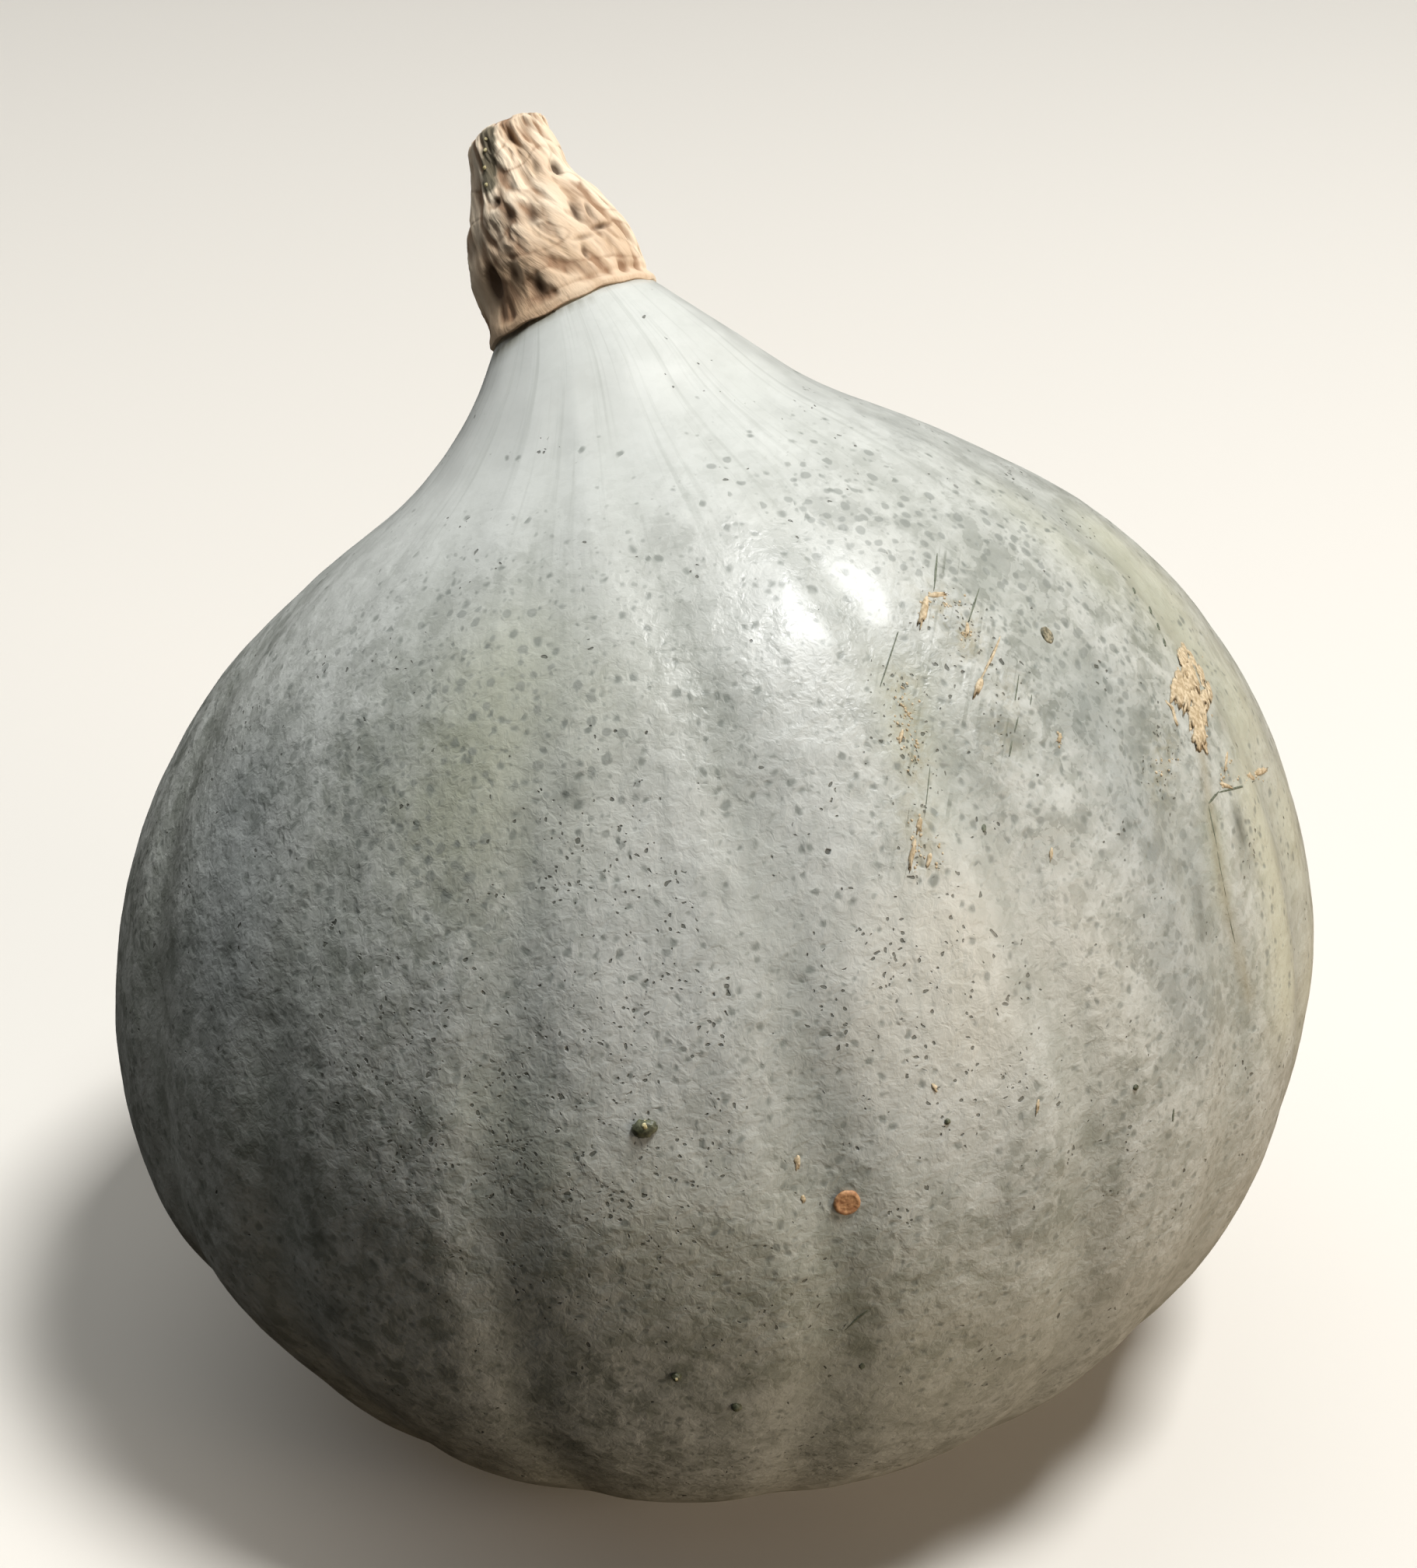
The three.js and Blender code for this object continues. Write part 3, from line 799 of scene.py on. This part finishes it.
# %% Colours and nodes
MATH, MIX, RANGE = "ShaderNodeMath", "ShaderNodeMix", "ShaderNodeMapRange"
NOISE, CELLS, BUMP = "ShaderNodeTexNoise", "ShaderNodeTexVoronoi", "ShaderNodeBump"
VECTOR, ATTRIBUTE = "ShaderNodeVectorMath", "ShaderNodeAttribute"
# sockets of a colour mix
FACTOR, MIX_A, MIX_B, MIXED = 0, 6, 7, 2
TIMES, LESS = ({"operation": kind} for kind in ("MULTIPLY", "SUBTRACT"))
SOFTLY = {"interpolation_type": "SMOOTHSTEP"}
IN_COLOUR = {"data_type": "RGBA", "out": MIXED}


def colour(code):
    """An sRGB colour like #A7ADA9 as linear numbers."""
    parts = [int(code[n : n + 2], 16) / 255 for n in (1, 3, 5)]
    return [part / 12.92 if part <= 0.04045 else ((part + 0.055) / 1.055) ** 2.4 for part in parts] + [1]


def add(material, kind, sockets, out=0, **settings):
    """Adds a node. A socket gets a value, or a link when it is given another node's output."""
    node = material.node_tree.nodes.new(kind)
    for name, value in settings.items():
        setattr(node, name, value)
    for name, value in sockets.items():
        if isinstance(value, bpy.types.NodeSocket):
            material.node_tree.links.new(value, node.inputs[name])
        else:
            node.inputs[name].default_value = value
    return node.outputs[out]


def new_material(name, pieces):
    """An empty node material on some pieces, with its principled shader."""
    material = bpy.data.materials.new(name)
    material.use_nodes = True
    for piece in pieces:
        piece.data.materials.append(material)
    return material, material.node_tree.nodes["Principled BSDF"]


def per_mm(size):
    """The scale of a pattern whose cells are some millimetres wide."""
    return 1 / (size * MM)


print("mid grey is", round(colour("#808080")[0], 3))

# %% [markdown]
# ## The waxy skin
#
# The skin of a ripe kabocha is a hard rind under a thin natural wax: a dielectric with an index
# near 1.45, satin rather than glossy. Its colour is built as the plant builds it: a grey-green
# ground clouded by pale bloom in ragged patches of 2 to 16 mm, thin pale veins, faint streaks
# along the ribs, freckles of about 1 mm, and clusters of half-millimetre pits. Picture files
# could do it, but noise and cells in the object's own space have no seams. A noise pushes every
# pattern a little to and fro, so that no spot comes out round.

# %% Ground colour and clouds
skin, skin_shader = new_material("waxy_rind", [fruit_skin])
where = add(skin, "ShaderNodeTexCoord", {}, "Object")
zone = {name: add(skin, ATTRIBUTE, {}, "Fac", attribute_name=name) for name in zones}
straight_way = add(skin, ATTRIBUTE, {}, "Vector", attribute_name="straight")
push = add(skin, NOISE, {"Vector": where, "Scale": per_mm(2.6), "Detail": 2.0}, "Color")
push = add(skin, VECTOR, {0: push, 1: (0.5, 0.5, 0.5)}, **LESS)
# the object's coordinates, pushed to and fro by up to half of these millimetres
warped, loose, firm = (
    add(skin, VECTOR, {0: push, 1: (reach * MM,) * 3, 2: where}, operation="MULTIPLY_ADD")
    for reach in (2.4, 1.6, 0.9)
)


def patches(size, low, high, seed, detail=5.0, roughness=0.62, vector=warped):
    """Ragged patches of about one size: 0 outside, 1 inside, soft between two noise levels."""
    field = add(skin, NOISE, {
        "Vector": vector, "Scale": per_mm(size), "Detail": detail, "Roughness": roughness,
        "W": seed}, noise_dimensions="4D")  # fmt: skip
    return add(skin, RANGE, {"Value": field, "From Min": low, "From Max": high}, **SOFTLY)


def spots(size, density, small, large, soft, vector=warped):
    """Uneven spots, at most one to a cell. A cell draws two numbers: it has a spot where the
    first is under the density, and the second sets the spot's radius, as a share of the cell."""
    cells = {"Vector": vector, "Scale": per_mm(size), "Randomness": 1.0}
    draw = add(skin, CELLS, cells, "Color")
    first = add(skin, "ShaderNodeSeparateColor", {0: draw}, "Red")
    second = add(skin, "ShaderNodeSeparateColor", {0: draw}, "Green")
    shown = add(skin, MATH, {0: first, 1: density}, operation="LESS_THAN")
    radius = add(skin, RANGE, {"Value": second, "To Min": small, "To Max": large})
    inside = add(skin, MATH, {0: radius, 1: add(skin, CELLS, cells, "Distance")}, **LESS)
    dot = add(skin, RANGE, {"Value": inside, "From Min": 0.0, "From Max": soft}, **SOFTLY)
    return add(skin, MATH, {0: dot, 1: shown}, **TIMES)


clouds = patches(16, 0.4, 0.62, seed=1)
mottle = patches(5.5, 0.42, 0.6, seed=2)
grains = patches(1.8, 0.38, 0.66, seed=3)
ground = {FACTOR: clouds, MIX_A: colour("#898D85"), MIX_B: colour("#B1B4AD")}
ground = add(skin, MIX, ground, **IN_COLOUR)

# %% Streaks, freckles, pits and scratches
stretched = add(skin, "ShaderNodeMapping", {"Vector": straight_way, "Scale": (1, 1, 0.08)})
streaks = patches(3, 0.5, 0.7, seed=4, vector=stretched)
veins = add(skin, NOISE, {"Vector": warped, "Scale": per_mm(6), "Detail": 4.0, "Roughness": 0.6})
veins = add(skin, MATH, {0: veins, 1: 0.5, 2: 0.05}, operation="COMPARE")
gathered = add(skin, MATH, {0: patches(15, 0.35, 0.65, seed=5, detail=2.0), 1: 0.7}, **TIMES)
dense = add(skin, MATH, {0: gathered, 1: zone["dots"]}, operation="MAXIMUM")
off_neck = add(skin, MATH, {0: 1.0, 1: zone["neck"]}, **LESS)
dense = add(skin, MATH, {0: dense, 1: off_neck}, **TIMES)
freckles = spots(1.9, dense, 0.28, 0.5, 0.32, loose)
specks = spots(1.1, dense, 0.25, 0.46, 0.3, loose)
stones = spots(2.1, zone["stones"], 0.34, 0.48, 0.14, firm)
clusters = patches(9, 0.56, 0.66, seed=6, detail=2.0)
clusters = add(skin, MATH, {0: clusters, 1: 0.4}, **TIMES)
pitted = patches(6, 0.44, 0.56, seed=9, detail=2.0)
pitted = add(skin, MATH, {0: pitted, 1: zone["pits"]}, **TIMES)
clusters = add(skin, MATH, {0: pitted, 1: clusters}, operation="MAXIMUM")
pits = spots(1.0, clusters, 0.18, 0.38, 0.1)
lone_pits = add(skin, MATH, {0: spots(5, 0.35, 0.03, 0.1, 0.03), 1: off_neck}, **TIMES)
# fine scratches, all in one direction and so lines of one noise across it
across = add(skin, VECTOR, {0: where, 1: (0.98, -0.09, -0.178)}, "Value", operation="DOT_PRODUCT")
lines = add(skin, NOISE, {"W": across, "Scale": per_mm(1.1), "Detail": 2.0}, noise_dimensions="1D")
lines = add(skin, RANGE, {"Value": lines, "From Min": 0.58, "From Max": 0.66})
scratches = add(skin, MATH, {0: lines, 1: patches(7, 0.42, 0.58, seed=7, vector=where)}, **TIMES)
scratches = add(skin, MATH, {0: scratches, 1: zone["scratched"]}, **TIMES)
rubbed = add(skin, MATH, {0: patches(1.2, 0.4, 0.6, seed=10), 1: zone["rubbed"]}, **TIMES)
rubbed_pits = spots(0.8, zone["rubbed"], 0.15, 0.35, 0.1)

# %% Lay the colours over each other
# how much of each layer, its strength and its colour, from the lowest to the highest
LAYERS = [
    (mottle, 0.75, "#C6C9C3"),
    (grains, 0.45, "#878B80"),
    (veins, 0.3, "#D2D5CF"),
    (zone["olive"], 0.7, "#A2A58A"),
    (zone["blue"], 0.5, "#949B9C"),
    (zone["yellow"], 0.75, "#C3C4AD"),
    # waxy bloom with a painted sheen in the middle
    (zone["bloom_and_painted_sheen"], 0.7, "#D0D3CE"),
    # beige tone with a painted warm reflection
    (zone["beige_and_painted_reflection"], 0.5, "#D0CDBE"),
    (zone["neck"], 0.85, "#D3D6D1"),
    (zone["groove"], 0.3, "#90958B"),
    (streaks, 0.25, "#8E938A"),
    (freckles, 0.7, "#747A73"),
    (specks, 0.5, "#7F847D"),
    (stones, 0.55, "#7C817B"),
    (zone["foot"], 0.8, "#A29A83"),
    (rubbed, 0.75, "#9B957B"),
    (scratches, 0.5, "#5C6252"),
    (rubbed_pits, 0.7, "#4F4E3E"),
    (zone["smudge"], 0.75, "#4B5047"),
    (zone["seam"], 0.7, "#8A7F5C"),
    # painted shadow under the foot of the stem
    (zone["painted_shadow_under_stem"], 0.9, "#6A6750"),
    (pits, 0.75, "#4A4C41"),
    (lone_pits, 0.85, "#3E4037"),
]
coat = ground
for amount, strength, code in LAYERS:
    share = add(skin, MATH, {0: amount, 1: strength}, **TIMES)
    coat = add(skin, MIX, {FACTOR: share, MIX_A: coat, MIX_B: colour(code)}, **IN_COLOUR)
skin.node_tree.links.new(coat, skin_shader.inputs["Base Color"])
print("layers of colour", len(LAYERS))

# %% Wax: gloss and dents
DENT_DEPTH, PIT_DEPTH = 1.0 * MM, 0.25 * MM  # deeper than real, so that they show from here
gloss = add(skin, RANGE, {"Value": mottle, "To Min": 0.36, "To Max": 0.48})
skin.node_tree.links.new(gloss, skin_shader.inputs["Roughness"])
skin_shader.inputs["IOR"].default_value = 1.45
skin_shader.inputs["Coat Weight"].default_value = 0.2
skin_shader.inputs["Coat Roughness"].default_value = 0.22
beaten = add(skin, NOISE, {"Vector": warped, "Scale": per_mm(4), "Detail": 4.0, "Roughness": 0.6})
beaten = add(skin, MATH, {0: beaten, 1: off_neck}, **TIMES)
dents = add(skin, BUMP, {"Height": beaten, "Distance": DENT_DEPTH, "Strength": 0.5}, "Normal")
sunk = add(skin, MATH, {0: pits, 1: lone_pits}, operation="MAXIMUM")
sunk = add(skin, MATH, {0: sunk, 1: rubbed_pits}, operation="MAXIMUM")
sunk = add(skin, MATH, {0: freckles, 1: 0.15, 2: sunk}, operation="MULTIPLY_ADD")
pricked = add(skin, BUMP, {
    "Height": sunk, "Distance": PIT_DEPTH, "Strength": 0.9, "Normal": dents}, "Normal", invert=True)
skin.node_tree.links.new(pricked, skin_shader.inputs["Normal"])
print("nodes in the skin", len(skin.node_tree.nodes))

# %% [markdown]
# ## Dry cork
#
# The stem and the scars are dry cork: dead, air-filled cells that scatter light like matt wood,
# with no gloss at all. Cork is pale and creamy on its rubbed crests, tan between them, and dark
# brown in furrows and pits, where dirt gathers and light doesn't reach.

# %% The cork of the stem
cork, cork_shader = new_material("dry_cork", [stem_cork])
cork_shader.inputs["Roughness"].default_value = 0.85
cork_shader.inputs["IOR"].default_value = 1.4
on_cork = {name: add(cork, ATTRIBUTE, {}, "Fac", attribute_name=name)
           for name in ("carved", "hollow", "stain", "painted_shade_low_left")}  # fmt: skip
grain_way = add(cork, ATTRIBUTE, {}, "Vector", attribute_name="grain")
fibre_way = add(cork, "ShaderNodeMapping", {"Vector": grain_way, "Scale": (1, 1, 0.22)})
fibres = add(cork, NOISE, {"Vector": fibre_way, "Scale": per_mm(2), "Detail": 6.0, "Roughness": 0.62})
plates = add(cork, NOISE, {"Vector": fibre_way, "Scale": per_mm(7), "Detail": 3.0})
# each layer's pattern, where it starts and is full, its strength and its colour
BARK = [
    (fibres, 0.4, 0.62, 0.8, "#E6CFB4"),
    (plates, 0.44, 0.62, 0.85, "#F4E5CC"),
    (fibres, 0.48, 0.34, 0.45, "#BFA384"),
    # painted shade, browner on the lower left of the stem
    (on_cork["painted_shade_low_left"], 0.0, 1.0, 0.6, "#B08B64"),
    (on_cork["carved"], 0.2, 1.0, 0.9, "#97765A"),
    (on_cork["stain"], 0.1, 0.7, 0.9, "#5F5A47"),
    (on_cork["hollow"], 0.15, 0.8, 0.9, "#4A331E"),
]
bark = add(cork, "ShaderNodeRGB", {})
bark.default_value = colour("#DCC3A6")
for amount, low, high, strength, code in BARK:
    share = add(cork, RANGE, {"Value": amount, "From Min": low, "From Max": high, "To Max": strength})
    bark = add(cork, MIX, {FACTOR: share, MIX_A: bark, MIX_B: colour(code)}, **IN_COLOUR)
cork.node_tree.links.new(bark, cork_shader.inputs["Base Color"])
grooved = add(cork, BUMP, {"Height": fibres, "Distance": 0.6 * MM, "Strength": 0.8}, "Normal")
cork.node_tree.links.new(grooved, cork_shader.inputs["Normal"])

# %% The cork of the scars, the warts and the dark ticks
def grainy_finish(name, pieces, low, high, size, rough):
    """Two colours in fine grains with a matching bump, for small bits."""
    material, shader = new_material(name, pieces)
    shader.inputs["Roughness"].default_value = rough
    place = add(material, "ShaderNodeTexCoord", {}, "Object")
    grain = add(material, NOISE, {"Vector": place, "Scale": per_mm(size), "Detail": 4.0})
    share = add(material, RANGE, {"Value": grain, "From Min": 0.38, "From Max": 0.62})
    mixed = add(material, MIX, {FACTOR: share, MIX_A: colour(low), MIX_B: colour(high)}, **IN_COLOUR)
    bump = add(material, BUMP, {"Height": grain, "Distance": 0.15 * MM, "Strength": 0.8}, "Normal")
    material.node_tree.links.new(mixed, shader.inputs["Base Color"])
    material.node_tree.links.new(bump, shader.inputs["Normal"])


# dry flakes: pale, matt and crumbly
grainy_finish("flaking_cork", [cork_flakes, cork_crumbs], "#AB9877", "#D8C7A8", 0.7, 0.8)
# old cork underneath: browner and coarser
grainy_finish("blossom_cork", [blossom_scar], "#8F7350", "#BBA07A", 1.2, 0.85)
# live rind without bloom: dark green with a dull shine
grainy_finish("dark_wart_rind", [skin_warts], "#3F4231", "#6B6E55", 0.8, 0.45)
# rubbed wart tips, and pale dots on the stem that are painted glints: straw-coloured, half matt
grainy_finish("wart_tip_cork_and_painted_glints", [wart_tips, stem_painted_glints], "#A79A6C", "#D9D0A4", 0.5, 0.6)
# scratched rind: the green under the bloom shows
grainy_finish("bruised_rind", [dark_ticks], "#565D4D", "#737A69", 0.6, 0.6)
# a healed sore: orange brown with a slight polish
grainy_finish("copper_brown_cork", [round_scab], "#A0714C", "#C99A6E", 0.7, 0.55)
# a weathered scab: grey brown, matt
grainy_finish("oval_scab_cork", [oval_scab], "#5C5A48", "#A79E84", 0.6, 0.6)

# %% [markdown]
# ## Floor, light and background
#
# The squash was photographed under soft indoor light, with its lower left in deep shade. Four
# lamps give that: a ceiling lamp a little to the right, a warm window low on the right, and two
# small ones in front for the two glints on the wax. Pale light comes from the room behind the
# left shoulder. The table stood dark on the left and lit on the right, and the world below the
# horizon plays that table, because light sent back by the pale floor would fill the shade.

# %% The floor and the wall
ROOM_REACH, WALL_HEIGHT = 3, 4  # metres


def stage_piece(name, shape):
    """A part of the studio, which sends no light back to the squash."""
    mesh = bpy.data.meshes.new(name)
    shape.to_mesh(mesh)
    piece = bpy.data.objects.new(name, mesh)
    bpy.context.collection.objects.link(piece)
    piece.visible_diffuse = piece.visible_glossy = False
    return piece


floor_shape = bmesh.new()
bmesh.ops.create_grid(floor_shape, x_segments=1, y_segments=1, size=ROOM_REACH)
floor = stage_piece("floor", floor_shape)
# plain paper, so matt that it shows only the soft shadow
_, paper_shader = new_material("matt_white_paper", [floor])
paper_shader.inputs["Base Color"].default_value = colour("#E4E0D8")
paper_shader.inputs["Roughness"].default_value = 0.9

# A pale wall round the room, for the views from low down. It glows by itself, so it looks even.
wall_shape = bmesh.new()
bmesh.ops.create_cone(
    wall_shape, cap_ends=False, segments=64,
    radius1=ROOM_REACH, radius2=ROOM_REACH, depth=2 * WALL_HEIGHT,
)  # fmt: skip
wall = stage_piece("wall", wall_shape)
wall.visible_shadow = False
_, glow_shader = new_material("even_pale_wall", [wall])
glow_shader.inputs["Base Color"].default_value = colour("#000000")
glow_shader.inputs["Emission Color"].default_value = colour("#D2CEC6")
glow_shader.inputs["Emission Strength"].default_value = 1.0


# %% The lamps
def lamp(name, where, size, watts, tint):
    """A square soft lamp that points at the middle of the squash."""
    light = bpy.data.lights.new(name, "AREA")
    light.size, light.energy, light.color = size, watts, colour(tint)[:3]
    holder = bpy.data.objects.new(name, light)
    holder.location = where
    aim = AIM * MM - Vector(where)
    holder.rotation_euler = aim.to_track_quat("-Z", "Y").to_euler()
    holder.visible_camera = False
    bpy.context.collection.objects.link(holder)


# place in metres, size in metres, watts and tint
lamp("ceiling", (0.74, -0.28, 2.36), 0.6, 62, "#FFFFFF")
lamp("window", (2.03, -1.17, 0.6), 1.0, 20, "#FFEDDA")
lamp("far_window", (0.42, -1.22, 0.46), 0.1, 0.22, "#F4F8FF")
lamp("blue_sky", (-0.14, -1.3, 0.39), 0.3, 0.22, "#D8E6FF")

# %% The light of the room and the table
ROOM_WAY = (-0.45, 0.5, 0.74)  # towards the pale room, behind the left shoulder
LIT_TABLE_WAY = (0.98, -0.1, 0.0)
world = bpy.data.worlds.new("pale_room")
world.use_nodes = True
bpy.context.scene.world = world
sky = world.node_tree.nodes["Background"]
way = add(world, "ShaderNodeTexCoord", {}, "Generated")
upwards = add(world, "ShaderNodeSeparateXYZ", {0: way}, "Z")
below = add(world, RANGE, {"Value": upwards, "From Min": 0.05, "From Max": -0.1}, **SOFTLY)


def shading(towards, low, high, dark, light):
    """A colour that goes from dark to light the more a direction points one way."""
    facing = add(world, VECTOR, {0: way, 1: towards}, "Value", operation="DOT_PRODUCT")
    share = add(world, RANGE, {"Value": facing, "From Min": low, "From Max": high}, **SOFTLY)
    return add(world, MIX, {FACTOR: share, MIX_A: colour(dark), MIX_B: colour(light)}, **IN_COLOUR)


room = shading(ROOM_WAY, 0.45, 0.95, "#0E0E0E", "#E8E8E6")
table = shading(LIT_TABLE_WAY, -0.1, 0.8, "#120C06", "#D8C3A6")
seen = add(world, MIX, {FACTOR: below, MIX_A: room, MIX_B: table}, **IN_COLOUR)
world.node_tree.links.new(seen, sky.inputs["Color"])
bpy.context.scene.view_settings.view_transform = "Standard"
print("lamps", [light.name for light in bpy.data.lights])
